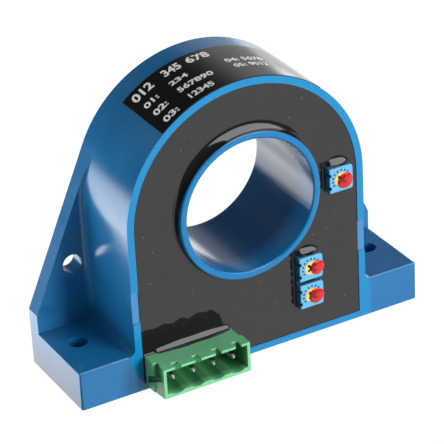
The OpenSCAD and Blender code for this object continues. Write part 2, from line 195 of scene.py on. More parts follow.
# settled dust: small round specks, only some of the cells
dustGroup, dIn, dOut = makeGroup(
    "settledDust",
    [("Vector", "NodeSocketVector", None), ("Scale", "NodeSocketFloat", 700.0),
     ("Share", "NodeSocketFloat", 0.1)],
    [("Mask", "NodeSocketFloat")])
cells = node(dustGroup, "ShaderNodeTexVoronoi", {"Randomness": 1.0})
dustGroup.links.new(dIn.outputs["Vector"], cells.inputs["Vector"])
dustGroup.links.new(dIn.outputs["Scale"], cells.inputs["Scale"])
pick = node(dustGroup, "ShaderNodeSeparateColor")
dustGroup.links.new(cells.outputs["Color"], pick.inputs[0])
chosen = mathNode(dustGroup, "LESS_THAN", pick.outputs[0], dIn.outputs["Share"])
near = spread(dustGroup, cells.outputs["Distance"], 0.22, 0.1)
dustGroup.links.new(mathNode(dustGroup, "MULTIPLY", chosen, near), dOut.inputs["Mask"])


# materials

def addGroup(tree, group, coords, values):
    n = tree.nodes.new("ShaderNodeGroup")
    n.node_tree = group
    tree.links.new(coords, n.inputs["Vector"])
    for key, value in values.items():
        n.inputs[key].default_value = value
    return n


def startMaterial(name, look):
    # colour, roughness and height as sockets that a finish can add to before closeMaterial
    material = bpy.data.materials.new(name)
    material.use_nodes = True
    tree = material.node_tree
    bsdf = tree.nodes["Principled BSDF"]
    bsdf.inputs["IOR"].default_value = look.get("ior", 1.5)
    bsdf.inputs["Metallic"].default_value = look.get("metallic", 0.0)
    coords = node(tree, "ShaderNodeTexCoord").outputs["Object"]
    grain = addGroup(tree, grainGroup, coords, {
        "Grain Scale": look.get("grainScale", 3500.0), "Mottle Scale": look.get("mottleScale", 70.0)})
    mottle = grain.outputs["Mottle"]
    colour = blendColour(tree, mottle, look["shade"], look["colour"])
    rough = spread(tree, mottle, 0, 1, look["gloss"][0], look["gloss"][1])
    kit = {"material": material, "tree": tree, "bsdf": bsdf, "coords": coords, "colour": colour,
           "rough": rough, "depth": look.get("depth", 0.01),
           "height": mathNode(tree, "MULTIPLY", grain.outputs["Grain"], look.get("grain", 0.3))}
    if look.get("dust"):
        dust = addGroup(tree, dustGroup, coords, {"Scale": look["dust"][0], "Share": look["dust"][1]})
        tint(kit, dust.outputs["Mask"], look["dustColour"])
        kit["height"] = mathNode(tree, "ADD", kit["height"], dust.outputs["Mask"])
    return kit


def tint(kit, mask, colour):
    kit["colour"] = blendColour(kit["tree"], mask, kit["colour"], colour)


def along(kit, axis):
    # the position along one axis
    if "xyz" not in kit:
        kit["xyz"] = node(kit["tree"], "ShaderNodeSeparateXYZ")
        kit["tree"].links.new(kit["coords"], kit["xyz"].inputs[0])
    return kit["xyz"].outputs[axis]


def between(kit, axis, low, high, soft=0.03 * mm):
    # 1 where the position along an axis lies between two values
    tree, value = kit["tree"], along(kit, axis)
    masks = []
    if low is not None:
        masks.append(spread(tree, value, low - soft, low + soft))
    if high is not None:
        masks.append(spread(tree, value, high + soft, high - soft))
    return masks[0] if len(masks) == 1 else mathNode(tree, "MULTIPLY", *masks)


def both(kit, *masks):
    return product(kit["tree"], *masks)


def addWaves(kit, scale, detail, depth):
    # slow unevenness of a surface, on top of its grain
    waves = node(kit["tree"], "ShaderNodeTexNoise", {"Scale": scale, "Detail": detail})
    kit["tree"].links.new(kit["coords"], waves.inputs["Vector"])
    kit["height"] = mathNode(kit["tree"], "ADD", kit["height"],
                             mathNode(kit["tree"], "MULTIPLY", waves.outputs[0], depth))


def closeMaterial(kit):
    tree, bsdf = kit["tree"], kit["bsdf"]
    bump = node(tree, "ShaderNodeBump", {"Strength": 1.0, "Distance": kit["depth"] * mm})
    tree.links.new(kit["height"], bump.inputs["Height"])
    tree.links.new(bump.outputs[0], bsdf.inputs["Normal"])
    tree.links.new(kit["colour"], bsdf.inputs["Base Color"])
    tree.links.new(kit["rough"], bsdf.inputs["Roughness"])
    return kit["material"]


caseLook = {"colour": (0.012, 0.160, 0.385), "shade": (0.010, 0.144, 0.35), "gloss": (0.16, 0.24),
            "grain": 0.25, "depth": 0.004, "dust": (900.0, 0.012),
            "dustColour": (0.12, 0.26, 0.42), "mottleScale": 90.0, "sinkScale": 110.0, "sinkDepth": 6.0,
            "rimColour": (0.002, 0.22, 0.49), "lipColour": (0.002, 0.17, 0.42),
            "landColour": (0.05, 0.235, 0.50), "boreShadeColour": (0.011, 0.060, 0.148)}
# where the rim, the raised lands at its two ends and the painted shade deep in the bore begin and end, in mm
caseBands = {"rimDepth": 0.02, "rimHalf": 31, "lipR": 21.5, "landDepth": 0.33, "landHeights": (17.3, 25.1),
             "landFrom": 26, "boreShadeFrom": -8.6, "boreShadeFade": 2.4, "boreSkin": 0.09}
case = startMaterial("caseBlue", caseLook)
inTube = node(case["tree"], "ShaderNodeVectorMath", {1: (1, 0, 1)}, operation="MULTIPLY")
axisDistance = node(case["tree"], "ShaderNodeVectorMath", {1: (0, 0, boreZ)}, operation="DISTANCE")
case["tree"].links.new(case["coords"], inTube.inputs[0])
case["tree"].links.new(inTube.outputs[0], axisDistance.inputs[0])
fromAxis = axisDistance.outputs["Value"]
rim = both(case, between(case, "Y", None, rimY + caseBands["rimDepth"] * mm, 0.01 * mm),
           between(case, "X", -caseBands["rimHalf"] * mm, caseBands["rimHalf"] * mm, 0.5 * mm))
lip = both(case, rim, spread(case["tree"], fromAxis, (caseBands["lipR"] + 0.5) * mm,
                             (caseBands["lipR"] - 0.5) * mm))
land = both(case, between(case, "Y", None, rimY + caseBands["landDepth"] * mm, 0.01 * mm),
            between(case, "Z", *(z * mm for z in caseBands["landHeights"]), 0.02 * mm),
            mathNode(case["tree"], "SUBTRACT", 1.0,
                     between(case, "X", -caseBands["landFrom"] * mm, caseBands["landFrom"] * mm)))
tint(case, rim, caseLook["rimColour"])
tint(case, lip, caseLook["lipColour"])
tint(case, land, caseLook["landColour"])
# painted shade: the tube's inner wall is coloured a duller, darker blue away from its lip, standing for the
# shade deep in the bore
boreShade = both(case, between(case, "Y", caseBands["boreShadeFrom"] * mm, None, caseBands["boreShadeFade"] * mm),
                spread(case["tree"], fromAxis, boreR + (caseBands["boreSkin"] + 0.03) * mm,
                       boreR + (caseBands["boreSkin"] - 0.03) * mm))
tint(case, boreShade, caseLook["boreShadeColour"])
addWaves(case, caseLook["sinkScale"], 1.0, caseLook["sinkDepth"])
caseBlue = closeMaterial(case)

resinLook = {"colour": (0.013, 0.0125, 0.012), "shade": (0.010, 0.0095, 0.009), "gloss": (0.05, 0.09),
             "grain": 0.5, "grainScale": 2500.0, "depth": 0.003, "ior": 1.62,
             "dust": (1300.0, 0.02), "dustColour": (0.05, 0.048, 0.045), "mottleScale": 120.0,
             "waveScale": 240.0, "waveDepth": 12.0}
resin = startMaterial("resinBlack", resinLook)
addWaves(resin, resinLook["waveScale"], 2.0, resinLook["waveDepth"])
# dull sealant over the header, up to a wavy outline that falls away at its right end; in mm, from the
# header's top and right
sealLook = {"reach": 6.1, "wave": 0.25, "pitch": 4.3, "wander": 0.5, "wanderScale": 420.0,
            "end": 0.4, "lean": 0.2, "fallFrom": 5.4, "fallTo": 3.4, "fall": 1.6, "crisp": 0.06, "shine": 0.03}
tree = resin["tree"]
wander = node(tree, "ShaderNodeTexNoise", {"Scale": sealLook["wanderScale"], "Detail": 2.0})
tree.links.new(resin["coords"], wander.inputs["Vector"])
stray = mathNode(tree, "MULTIPLY", mathNode(tree, "SUBTRACT", wander.outputs[0], 0.5),
                 2 * sealLook["wander"] * mm)
sealX, sealZ = along(resin, "X"), along(resin, "Z")
swing = mathNode(tree, "SINE", mathNode(tree, "MULTIPLY", sealX, 2 * math.pi / (sealLook["pitch"] * mm)))
swing = mathNode(tree, "MULTIPLY", swing, sealLook["wave"] * mm)
fall = spread(tree, sealX, headerHi.x - sealLook["fallFrom"] * mm, headerHi.x - sealLook["fallTo"] * mm,
              0, sealLook["fall"] * mm)
sealTop = mathNode(tree, "ADD", mathNode(tree, "ADD", sealZ, mathNode(tree, "ADD", swing, stray)), fall)
sealEnd = mathNode(tree, "ADD", sealX,
                   mathNode(tree, "ADD", stray, mathNode(tree, "MULTIPLY", sealZ, sealLook["lean"])))
topAt, endAt = headerHi.z + sealLook["reach"] * mm, headerHi.x - sealLook["end"] * mm
crisp = sealLook["crisp"] * mm
sealed = both(resin, spread(tree, sealTop, topAt + crisp, topAt - crisp),
              spread(tree, sealEnd, endAt + crisp, endAt - crisp),
              between(resin, "Y", resinY - 0.05 * mm, None, 0.02 * mm))
tree.links.new(spread(tree, sealed, 0, 1, 0.5, sealLook["shine"]), resin["bsdf"].inputs["Specular IOR Level"])
resinBlack = closeMaterial(resin)

labelBlack = closeMaterial(startMaterial("labelBlack", {
    "colour": (0.011, 0.010, 0.0095), "shade": (0.008, 0.0075, 0.007), "gloss": (0.10, 0.15),
    "grain": 0.4, "depth": 0.002, "dust": (1500.0, 0.015),
    "dustColour": (0.06, 0.06, 0.06)}))
inkWhite = closeMaterial(startMaterial("inkWhite", {
    "colour": (0.98, 0.98, 0.97), "shade": (0.92, 0.92, 0.91), "gloss": (0.4, 0.5),
    "grain": 0.6, "depth": 0.002, "mottleScale": 700.0}))

headerLook = {"colour": (0.20, 0.62, 0.31), "shade": (0.18, 0.57, 0.28), "gloss": (0.38, 0.48),
              "pocketShadeColour": (0.06, 0.26, 0.10), "pocketShadeFrom": 1.2, "pocketShadeFade": 0.9, "wall": 0.5,
              "roof": 0.4,
              "grain": 0.6, "depth": 0.006, "mottleScale": 160.0,
              "dust": (1600.0, 0.02), "dustColour": (0.32, 0.66, 0.40)}
header = startMaterial("headerGreen", headerLook)
# painted shade: the sockets' inner walls are coloured a darker green, standing for the shade deep inside them
wall, roof = headerLook["wall"] * mm, headerLook["roof"] * mm
pocketShade = both(header, between(header, "Y", headerLo.y + headerLook["pocketShadeFrom"] * mm, None,
                              headerLook["pocketShadeFade"] * mm),
              between(header, "X", headerLo.x + wall, headerHi.x - wall),
              between(header, "Z", headerLo.z + wall, headerHi.z - roof))
tint(header, pocketShade, headerLook["pocketShadeColour"])
headerGreen = closeMaterial(header)

contactTin = closeMaterial(startMaterial("contactTin", {
    "colour": (0.78, 0.77, 0.74), "shade": (0.60, 0.58, 0.54), "gloss": (0.32, 0.45), "metallic": 1.0,
    "grain": 0.4, "depth": 0.003, "mottleScale": 900.0}))

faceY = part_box("trimmer_body_1")[0].y
trimmerLook = {"colour": (0.02, 0.16, 0.33), "shade": (0.018, 0.13, 0.28), "gloss": (0.3, 0.42),
               "grain": 0.4, "depth": 0.003, "mottleScale": 500.0, "faceColour": (0.13, 0.44, 0.70)}
trimmer = startMaterial("trimmerBlue", trimmerLook)
tint(trimmer, between(trimmer, "Y", None, faceY + 0.05 * mm, 0.02 * mm), trimmerLook["faceColour"])
trimmerBlue = closeMaterial(trimmer)
# painted shade: colour of the dark discs that cover the scale pits on the trimmers' faces
paintedPitShade = closeMaterial(startMaterial("paintedPitShade", {
    "colour": (0.008, 0.035, 0.09), "shade": (0.006, 0.02, 0.05), "gloss": (0.4, 0.5),
    "mottleScale": 900.0}))

rotorLook = {"colour": (0.78, 0.62, 0.20), "shade": (0.74, 0.54, 0.13), "gloss": (0.3, 0.4),
             "grain": 0.4, "depth": 0.003, "mottleScale": 600.0, "slotShadeColour": (0.10, 0.045, 0.01)}
rotor = startMaterial("rotorCream", rotorLook)
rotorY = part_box("trimmer_rotor_1")[0].y
# painted shade: the rotor more than 0.12 mm behind its front, its slots' walls and floors among it, is
# coloured dark brown
tint(rotor, between(rotor, "Y", rotorY + 0.12 * mm, None, 0.06 * mm), rotorLook["slotShadeColour"])
rotorCream = closeMaterial(rotor)

lacquerLook = {"colour": (0.66, 0.012, 0.014), "shade": (0.56, 0.008, 0.010), "gloss": (0.12, 0.2),
               "slotShadeColour": (0.06, 0.004, 0.004), "grain": 0.3, "depth": 0.004, "mottleScale": 450.0}
lacquer = startMaterial("lacquerRed", lacquerLook)
# painted shade: the lacquer is coloured darker where the rotor's shaded slots lie beneath it
through = node(lacquer["tree"], "ShaderNodeAttribute", attribute_name="slotShade")
tint(lacquer, mathNode(lacquer["tree"], "MULTIPLY", through.outputs["Fac"], 0.75), lacquerLook["slotShadeColour"])
lacquerRed = closeMaterial(lacquer)

# pieces inside the resin
boardGreen = closeMaterial(startMaterial("boardGreen", {
    "colour": (0.02, 0.17, 0.07), "shade": (0.015, 0.12, 0.05), "gloss": (0.3, 0.4), "grain": 0.5,
    "grainScale": 1500.0}))
chipBlack = closeMaterial(startMaterial("chipBlack", {
    "colour": (0.03, 0.03, 0.032), "shade": (0.022, 0.022, 0.024), "gloss": (0.5, 0.62), "grain": 0.8}))
canDark = closeMaterial(startMaterial("canDark", {
    "colour": (0.03, 0.04, 0.09), "shade": (0.02, 0.03, 0.07), "gloss": (0.25, 0.35)}))
capacitorRed = closeMaterial(startMaterial("capacitorRed", {
    "colour": (0.5, 0.05, 0.03), "shade": (0.42, 0.04, 0.025), "gloss": (0.2, 0.3), "grain": 0.4}))
core = startMaterial("coreSteel", {
    "colour": (0.40, 0.40, 0.42), "shade": (0.28, 0.28, 0.30), "gloss": (0.3, 0.42), "metallic": 1.0})
middle = node(core["tree"], "ShaderNodeMapping", {"Location": (0, 0, -boreZ)})
strips = node(core["tree"], "ShaderNodeTexWave", {"Scale": 900.0, "Distortion": 0.4}, wave_type="RINGS",
              rings_direction="Y")
core["tree"].links.new(core["coords"], middle.inputs["Vector"])
core["tree"].links.new(middle.outputs[0], strips.inputs["Vector"])
core["height"] = strips.outputs["Fac"]
coreSteel = closeMaterial(core)

finishes = {"case_blue": caseBlue, "label_black": labelBlack, "resin_black": resinBlack,
            "core_steel": coreSteel, "chip_black": chipBlack, "board_green": boardGreen,
            "header_green": headerGreen, "contact_tin": contactTin, "trimmer_blue": trimmerBlue,
            "rotor_cream": rotorCream, "lacquer_red": lacquerRed, "can_dark": canDark,
            "capacitor_red": capacitorRed}
for part in record["subparts"]:
    dress(nodes[part["node"]], finishes[part["material_slot"]])
print("materials made:", len(finishes) + 2)


# moulded pieces: the same solids with their edges broken

edgeBreaks = {"housing": ("caseMoulding", 0.14, "case", "case_blue", caseBlue),
              "header_housing": ("headerMoulding", 0.10, "case", "header_green", headerGreen)}
# angles in degrees and the least area of a broad face in square mm
mouldLook = {"weld": 0.5e-6, "flatAngle": 0.4, "broadFace": 15, "crispAngle": 12, "bevelAngle": 38,
             "bevelSteps": 2}


def breakEdges(nodeName, pieceName, width):
    shape = bmesh.new()
    shape.from_mesh(nodes[nodeName].data)
    bmesh.ops.remove_doubles(shape, verts=shape.verts, dist=mouldLook["weld"])
    bmesh.ops.dissolve_limit(shape, angle_limit=math.radians(mouldLook["flatAngle"]), verts=shape.verts,
                             edges=shape.edges)
    # a shallow corner between two broad faces stays crisp
    for face in shape.faces:
        face.smooth = True
    for edge in shape.edges:
        faces = edge.link_faces
        if len(faces) == 2 and min(f.calc_area() for f in faces) > mouldLook["broadFace"] * mm * mm:
            edge.smooth = edge.calc_face_angle() < math.radians(mouldLook["crispAngle"])
    mesh = bpy.data.meshes.new(pieceName)
    shape.to_mesh(mesh)
    shape.free()
    piece = addObject(pieceName, mesh)
    bevel = piece.modifiers.new("edges", "BEVEL")
    bevel.width, bevel.segments, bevel.limit_method = width * mm, mouldLook["bevelSteps"], "ANGLE"
    bevel.angle_limit = math.radians(mouldLook["bevelAngle"])
    bevel.miter_outer = "MITER_ARC"
    weighted = piece.modifiers.new("shading", "WEIGHTED_NORMAL")
    weighted.keep_sharp = True
    bakeModifiers(piece)
    return piece


for nodeName, (pieceName, width, body, slot, material) in edgeBreaks.items():
    piece = breakEdges(nodeName, pieceName, width)
    finishPiece(piece, body, slot, material, nodeName)
    print(pieceName, "has", len(piece.data.polygons), "faces")


# resin that has crept up what stands in it

menisci = {"profileSteps": 16, "sunk": 0.06, "tubeStations": 200, "cornerR": 0.12, "sideStep": 0.25,
           "slopes": ((0, 6), (0.2, 27), (0.68, 50), (0.8, 62), (1, 76)), "highest": 1.75}


def slopeAt(t):
    for (a, low), (b, high) in zip(menisci["slopes"], menisci["slopes"][1:]):
        if t <= b:
            return math.radians(low + (high - low) * (t - a) / (b - a))


# the fillet's rise from its outer edge to the wall, for a fillet of unit width
creepRise = [0.0]
for k in range(menisci["profileSteps"]):
    creepRise.append(creepRise[-1] + math.tan(slopeAt((k + 0.5) / menisci["profileSteps"]))
                     / menisci["profileSteps"])


def crept(name, stations, closed=True):
    # stations hold x, z, the outward direction and the fillet's width there
    steps = menisci["profileSteps"]
    verts, faces = [], []
    for x, z, nx, nz, width in stations:
        rise = min(width, menisci["highest"] * mm / creepRise[-1])
        profile = [(width, -menisci["sunk"] * mm)]
        for k in range(steps + 1):
            profile.append((width * (1 - k / steps), rise * creepRise[k]))
        profile.append((-menisci["sunk"] * mm, profile[-1][1]))
        profile.append((-menisci["sunk"] * mm, -menisci["sunk"] * mm))
        verts += [(x + nx * d, resinY - h, z + nz * d) for d, h in profile]
    count, ring = len(stations), steps + 4
    for i in range(count if closed else count - 1):
        j = (i + 1) % count
        for k in range(ring):
            m = (k + 1) % ring
            faces.append((i * ring + k, j * ring + k, j * ring + m, i * ring + m))
    if not closed:
        faces.append(tuple(range(ring)))
        faces.append(tuple(range((count - 1) * ring, count * ring)))
    return addObject(name, faceOutward(meshFrom(name, verts, faces), 50))


def lerpTable(table, value):
    # an eased value between a table's rows
    for (a, va), (b, vb) in zip(table, table[1:]):
        if a <= value <= b:
            t = (value - a) / (b - a)
            t = t * t * (3 - 2 * t)
            return va + (vb - va) * t
    return table[-1][1]


def boxStations(lo, hi, sizeAt, sides=("left", "top", "right", "bottom")):
    # walk clockwise round a block from its lower left corner
    r = menisci["cornerR"] * mm
    runs = {"left": ((lo[0], lo[1] + r), (lo[0], hi[1] - r), (-1, 0)),
            "top": ((lo[0] + r, hi[1]), (hi[0] - r, hi[1]), (0, 1)),
            "right": ((hi[0], hi[1] - r), (hi[0], lo[1] + r), (1, 0)),
            "bottom": ((hi[0] - r, lo[1]), (lo[0] + r, lo[1]), (0, -1))}
    stations = []
    for i, side in enumerate(sides):
        a, b, n = runs[side]
        length = math.dist(a, b)
        count = max(4, round(length / mm / menisci["sideStep"]))
        for k in range(count + 1):
            t = k / count
            stations.append((a[0] + (b[0] - a[0]) * t, a[1] + (b[1] - a[1]) * t, *n,
                             sizeAt(side, t) * mm))
        following = sides[(i + 1) % len(sides)]
        if i == len(sides) - 1 and len(sides) < 4:
            continue
        m = runs[following][2]
        centre = (b[0] - n[0] * r, b[1] - n[1] * r)
        before, after = sizeAt(side, 1.0), sizeAt(following, 0.0)
        for k in (1, 2, 3):
            t = k / 4
            a1 = math.atan2(n[1], n[0]) - math.pi / 2 * t
            d = (math.cos(a1), math.sin(a1))
            width = before + (after - before) * t
            stations.append((centre[0] + d[0] * r, centre[1] + d[1] * r, *d, width * mm))
    return stations


# round the tube: widest over its top, thin below; angles from +X, turning up
tubeCreep = [(0, 0.35), (30, 0.6), (55, 1.6), (80, 2.1), (105, 2.1), (132, 1.8), (172, 0.8),
             (186, 0.7), (190, 0.35), (240, 0.45), (280, 0.3), (360, 0.35)]
stations = []
for i in range(menisci["tubeStations"]):
    degrees = 360 * i / menisci["tubeStations"]
    c, s = math.cos(math.radians(degrees)), math.sin(math.radians(degrees))
    stations.append((tubeR * c, boreZ + tubeR * s, c, s, lerpTable(tubeCreep, degrees) * mm))
finishPiece(crept("tubeCreep", stations), "case", "resin_black", resinBlack)


trimmerFillet = {"edge": 0.35, "swell": 1.6, "left": 0.4, "right": 0.3, "bottom": 0.3}


def trimmerCreep(side, t):
    if side == "top":
        return trimmerFillet["edge"] + trimmerFillet["swell"] * math.sin(math.pi * t) ** 0.8
    return trimmerFillet[side]


lo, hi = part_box("trimmer_body_1")
stations = boxStations((lo.x, lo.z), (hi.x, hi.z), trimmerCreep)
finishPiece(crept("trimmerCreepUpper", stations), "case", "resin_black", resinBlack)
lo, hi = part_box("trimmer_body_2")
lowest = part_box("trimmer_body_3")[0]
stations = boxStations((lo.x, lowest.z), (hi.x, hi.z), trimmerCreep)
finishPiece(crept("trimmerCreepLower", stations), "case", "resin_black", resinBlack)

# the narrow gap between the lower pair is wetted almost to their faces
gapFill = {"steps": 12, "height": 0.75, "swell": 0.5, "side": 0.05, "sunk": 0.06,
           "sag": (1.0, 0.82, 0.76, 0.82, 1.0)}
gapLo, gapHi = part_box("trimmer_body_3")[1].z, lo.z
steps, sags = gapFill["steps"], gapFill["sag"]
verts, faces = [], []
for i in range(steps + 1):
    t = i / steps
    x = lo.x + gapFill["side"] * mm + (hi.x - lo.x - 2 * gapFill["side"] * mm) * t
    height = gapFill["height"] + gapFill["swell"] * math.sin(math.pi * t)
    for k, sag in enumerate(sags):
        verts.append((x, resinY - height * sag * mm, gapLo + (gapHi - gapLo) * k / (len(sags) - 1)))
    verts += [(x, resinY + gapFill["sunk"] * mm, gapHi), (x, resinY + gapFill["sunk"] * mm, gapLo)]
ring = len(sags) + 2
for i in range(steps):
    for k in range(ring):
        m = (k + 1) % ring
        faces.append((i * ring + k, i * ring + m, (i + 1) * ring + m, (i + 1) * ring + k))
faces += [tuple(range(ring - 1, -1, -1)), tuple(range(steps * ring, (steps + 1) * ring))]
finishPiece(addObject("trimmerBridge", faceOutward(meshFrom("trimmerBridge", verts, faces), 50)),
            "case", "resin_black", resinBlack)

# a long bead over the header, from a little right of its left end
headerFillet = {"edge": 0.35, "swell": 1.0, "growing": 0.25, "ripple": 0.08, "ripples": 19, "start": 0.14,
                "side": 0.4}


def headerCreep(side, t):
    if side != "top":
        return headerFillet["side"]
    start = headerFillet["start"]
    swell = math.sin(math.pi * max(0.0, min(1.0, t * (1 + start) - start))) ** 0.25
    ripple = headerFillet["ripple"] * math.sin(headerFillet["ripples"] * t)
    return headerFillet["edge"] + (headerFillet["swell"] + headerFillet["growing"] * t + ripple) * swell


stepW = 0.6 * mm                       # the block's rear half sits this much to the left
stations = boxStations((headerLo.x, resinLo.z + 0.1 * mm), (headerHi.x - stepW, headerHi.z), headerCreep,
                       ("left", "top", "right"))
finishPiece(crept("headerCreep", stations, closed=False), "case", "resin_black", resinBlack)
print("resin fillets made")


# lacquer drops on the rotors

dropLook = {"height": 0.5, "rings": 16, "spokes": 56, "dome": (2.4, 0.62), "uneven": 0.06,
            "slotReach": 1.25, "slotHalf": 0.3, "slotTurn": 45, "slotEdge": (0.15, 0.25)}
# middle of each drop from its rotor's axis, and its half width and half height, in mm
drops = {1: ((0.97, -0.6), (2.0, 1.95)), 2: ((1.55, -0.3), (1.75, 1.85)), 3: ((1.1, -0.5), (1.95, 1.95))}


def lacquerDrop(index):
    rotorLo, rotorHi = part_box(f"trimmer_rotor_{index}")
    rng = random.Random(40 + index)
    axisX, axisZ = (rotorLo.x + rotorHi.x) / 2, (rotorLo.z + rotorHi.z) / 2
    baseY = rotorLo.y
    waves = [(n, rng.uniform(-1, 1) * dropLook["uneven"] / n ** 0.5, rng.uniform(0, 6.28))
             for n in (2, 3, 4, 5)]
    verts, faces = [], []
    rings, spokes = dropLook["rings"], dropLook["spokes"]
    offset, reach = drops[index]
    for k in range(1, rings + 1):
        rho = k / rings
        rise = (1 - rho ** dropLook["dome"][0]) ** dropLook["dome"][1] if k < rings else 0.0
        for s in range(spokes):
            a = 2 * math.pi * s / spokes
            edge = 1 + sum(amp * math.cos(n * a + phase) for n, amp, phase in waves)
            x = axisX + (offset[0] + reach[0] * rho * edge * math.cos(a)) * mm
            z = axisZ + (offset[1] + reach[1] * rho * edge * math.sin(a)) * mm
            verts.append((x, baseY - dropLook["height"] * rise * mm, z))
    top, under = len(verts), len(verts) + 1
    verts.append((axisX + offset[0] * mm, baseY - dropLook["height"] * mm,
                  axisZ + offset[1] * mm))
    verts.append((axisX + offset[0] * mm, baseY, axisZ + offset[1] * mm))
    for s in range(spokes):
        t = (s + 1) % spokes
        faces.append((top, s, t))
        faces.append((under, (rings - 1) * spokes + t, (rings - 1) * spokes + s))
        for k in range(rings - 1):
            a, b = k * spokes, (k + 1) * spokes
            faces.append((a + s, b + s, b + t, a + t))
    mesh = faceOutward(meshFrom(f"lacquerDrop{index}", verts, faces), 60)
    # how much of the rotor's slots, with their painted shade, shows through at each point
    slotHalf, slotReach, slotEdge = dropLook["slotHalf"], dropLook["slotReach"], dropLook["slotEdge"]
    thin = mesh.attributes.new("slotShade", "FLOAT", "POINT")
    for i, v in enumerate(mesh.vertices):
        aside = Vector(((v.co.x - axisX) / mm, (v.co.z - axisZ) / mm))
        aside.rotate(Matrix.Rotation(math.radians(dropLook["slotTurn"]), 2))
        dx, dz = aside
        across = min(max(abs(dx), abs(dz) - slotReach + slotHalf),
                     max(abs(dz), abs(dx) - slotReach + slotHalf))
        thin.data[i].value = max(0.0, min(1.0, (slotHalf + slotEdge[0] - across) / slotEdge[1]))
    return addObject(f"lacquerDrop{index}", mesh)


for index in (1, 2, 3):
    finishPiece(lacquerDrop(index), f"adjuster_{index}", "lacquer_red", lacquerRed, f"seal_dab_{index}")
print("lacquer drops made")


# geometry nodes: scale dots and dust

def geometryTree(name, inputs):
    tree = bpy.data.node_groups.new(name, "GeometryNodeTree")
    tree.interface.new_socket("Geometry", in_out="INPUT", socket_type="NodeSocketGeometry")
    for label, kind in inputs:
        tree.interface.new_socket(label, in_out="INPUT", socket_type=kind)
    tree.interface.new_socket("Geometry", in_out="OUTPUT", socket_type="NodeSocketGeometry")
    return tree, tree.nodes.new("NodeGroupInput"), tree.nodes.new("NodeGroupOutput")


def finishTree(tree, geometry, material, treeOut):
    real = tree.nodes.new("GeometryNodeRealizeInstances")
    paint = tree.nodes.new("GeometryNodeSetMaterial")
    paint.inputs["Material"].default_value = material
    tree.links.new(geometry, real.inputs[0])
    tree.links.new(real.outputs[0], paint.inputs[0])
    tree.links.new(paint.outputs[0], treeOut.inputs[0])


def growPiece(name, base, tree, values):
    piece = addObject(name, base)
    modifier = piece.modifiers.new(tree.name, "NODES")
    modifier.node_group = tree
    for item in tree.interface.items_tree:
        if item.item_type == "SOCKET" and item.in_out == "INPUT" and item.name in values:
            modifier[item.identifier] = values[item.name]
    return bakeModifiers(piece)


# dots on an arc round each rotor: dark discs over the scale pits, painted shade in place of the shade inside
# them
dotLook = {"Count": 11, "First Angle": math.radians(-32.5), "Step Angle": math.radians(24.5),
           "Ring Radius": 2.25 * mm, "Dot Radius": 0.25 * mm, "Dot Depth": 0.03 * mm}
tree, treeIn, treeOut = geometryTree("scaleDots", [
    ("Count", "NodeSocketInt"), ("First Angle", "NodeSocketFloat"), ("Step Angle", "NodeSocketFloat"),
    ("Ring Radius", "NodeSocketFloat"), ("Dot Radius", "NodeSocketFloat"), ("Dot Depth", "NodeSocketFloat")])
row = tree.nodes.new("GeometryNodeMeshLine")
tree.links.new(treeIn.outputs["Count"], row.inputs["Count"])
turn = mathNode(tree, "MULTIPLY", tree.nodes.new("GeometryNodeInputIndex").outputs[0],
                treeIn.outputs["Step Angle"])
turn = mathNode(tree, "ADD", turn, treeIn.outputs["First Angle"])
spot = tree.nodes.new("ShaderNodeCombineXYZ")
for socket, operation in ((0, "COSINE"), (2, "SINE")):
    tree.links.new(mathNode(tree, "MULTIPLY", mathNode(tree, operation, turn),
                            treeIn.outputs["Ring Radius"]), spot.inputs[socket])
ring = tree.nodes.new("GeometryNodeSetPosition")
tree.links.new(row.outputs[0], ring.inputs["Geometry"])
tree.links.new(spot.outputs[0], ring.inputs["Position"])
dot = node(tree, "GeometryNodeMeshCylinder", {"Vertices": 14})
tree.links.new(treeIn.outputs["Dot Radius"], dot.inputs["Radius"])
tree.links.new(treeIn.outputs["Dot Depth"], dot.inputs["Depth"])
dots = node(tree, "GeometryNodeInstanceOnPoints", {"Rotation": (math.pi / 2, 0, 0)})
tree.links.new(ring.outputs[0], dots.inputs["Points"])
tree.links.new(dot.outputs["Mesh"], dots.inputs["Instance"])
places = tree.nodes.new("GeometryNodeInstanceOnPoints")
tree.links.new(treeIn.outputs["Geometry"], places.inputs["Points"])
tree.links.new(dots.outputs[0], places.inputs["Instance"])
finishTree(tree, places.outputs[0], paintedPitShade, treeOut)
centres = []
for index in (1, 2, 3):
    lo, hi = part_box(f"trimmer_body_{index}")
    centres.append(((lo.x + hi.x) / 2, lo.y - 0.005 * mm, (lo.z + hi.z) / 2))
finishPiece(growPiece("scaleDots", meshFrom("scaleDots", centres, []), tree, dotLook),
            "case", "trimmer_blue", paintedPitShade)

# dust caught on the resin's open face
dustSpeck = closeMaterial(startMaterial("dustSpeck", {
    "colour": (0.55, 0.50, 0.46), "shade": (0.34, 0.28, 0.25), "gloss": (0.6, 0.8),
    "mottleScale": 300.0}))
dustLook = {"Spacing": 2.2 * mm, "Density": 60000.0, "Seed": 7, "Smallest": 0.25, "Largest": 1.0,
            "Grain Size": 0.11 * mm}
grainShape = {"thickness": 0.3, "width": 0.7}   # of a speck, for a length of 1
tree, treeIn, treeOut = geometryTree("resinDust", [
    ("Spacing", "NodeSocketFloat"), ("Density", "NodeSocketFloat"), ("Seed", "NodeSocketInt"),
    ("Smallest", "NodeSocketFloat"), ("Largest", "NodeSocketFloat"), ("Grain Size", "NodeSocketFloat")])
scatter = tree.nodes.new("GeometryNodeDistributePointsOnFaces")
scatter.distribute_method = "POISSON"
tree.links.new(treeIn.outputs["Geometry"], scatter.inputs["Mesh"])
tree.links.new(treeIn.outputs["Spacing"], scatter.inputs["Distance Min"])
tree.links.new(treeIn.outputs["Density"], scatter.inputs["Density Max"])
tree.links.new(treeIn.outputs["Seed"], scatter.inputs["Seed"])
speck = node(tree, "GeometryNodeMeshIcoSphere", {"Subdivisions": 1})
tree.links.new(treeIn.outputs["Grain Size"], speck.inputs["Radius"])
